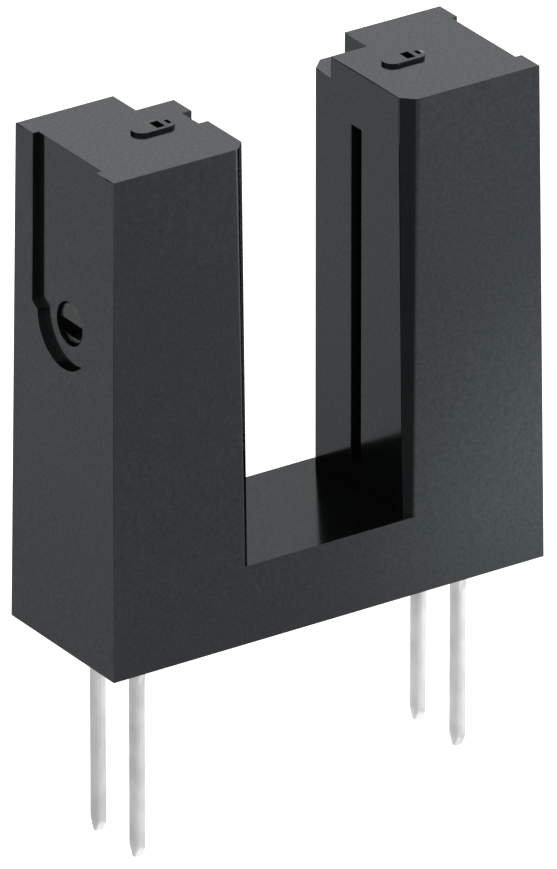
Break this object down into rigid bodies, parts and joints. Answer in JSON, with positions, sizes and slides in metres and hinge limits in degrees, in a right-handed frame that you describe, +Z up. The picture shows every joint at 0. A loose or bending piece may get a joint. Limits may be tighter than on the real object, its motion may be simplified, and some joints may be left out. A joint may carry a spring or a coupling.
{
  "type": "slotted optical switch",
  "caption": "U-shaped black optical switch for a circuit board: an emitter in one arm shines across the slot to a detector in the other, and a vane in the slot breaks the beam.",
  "frame": {"origin": "centre of the housing's flat underside, where it sits on the board", "axes": "+X from the emitter arm to the detector arm, -Y towards the front face, +Z up out of the board"},
  "size_m": [0.0138, 0.005, 0.0209],
  "materials": {
    "black_plastic": "satin moulded",
    "clear_resin": "clear moulded resin",
    "dark_resin": "dark moulded resin",
    "tinned_metal": "bright tin plating",
    "chip": "polished semiconductor",
    "gold_wire": "drawn gold"
  },
  "bodies": {
    "root": {"housing": "black_plastic", "emitter_package": "clear_resin", "emitter_cathode_lead": "tinned_metal", "emitter_anode_lead": "tinned_metal", "emitter_chip": "chip", "emitter_bond_wire": "gold_wire", "detector_package": "dark_resin", "detector_collector_lead": "tinned_metal", "detector_emitter_lead": "tinned_metal", "detector_chip": "chip", "detector_bond_wire": "gold_wire"}
  },
  "joints": []
}
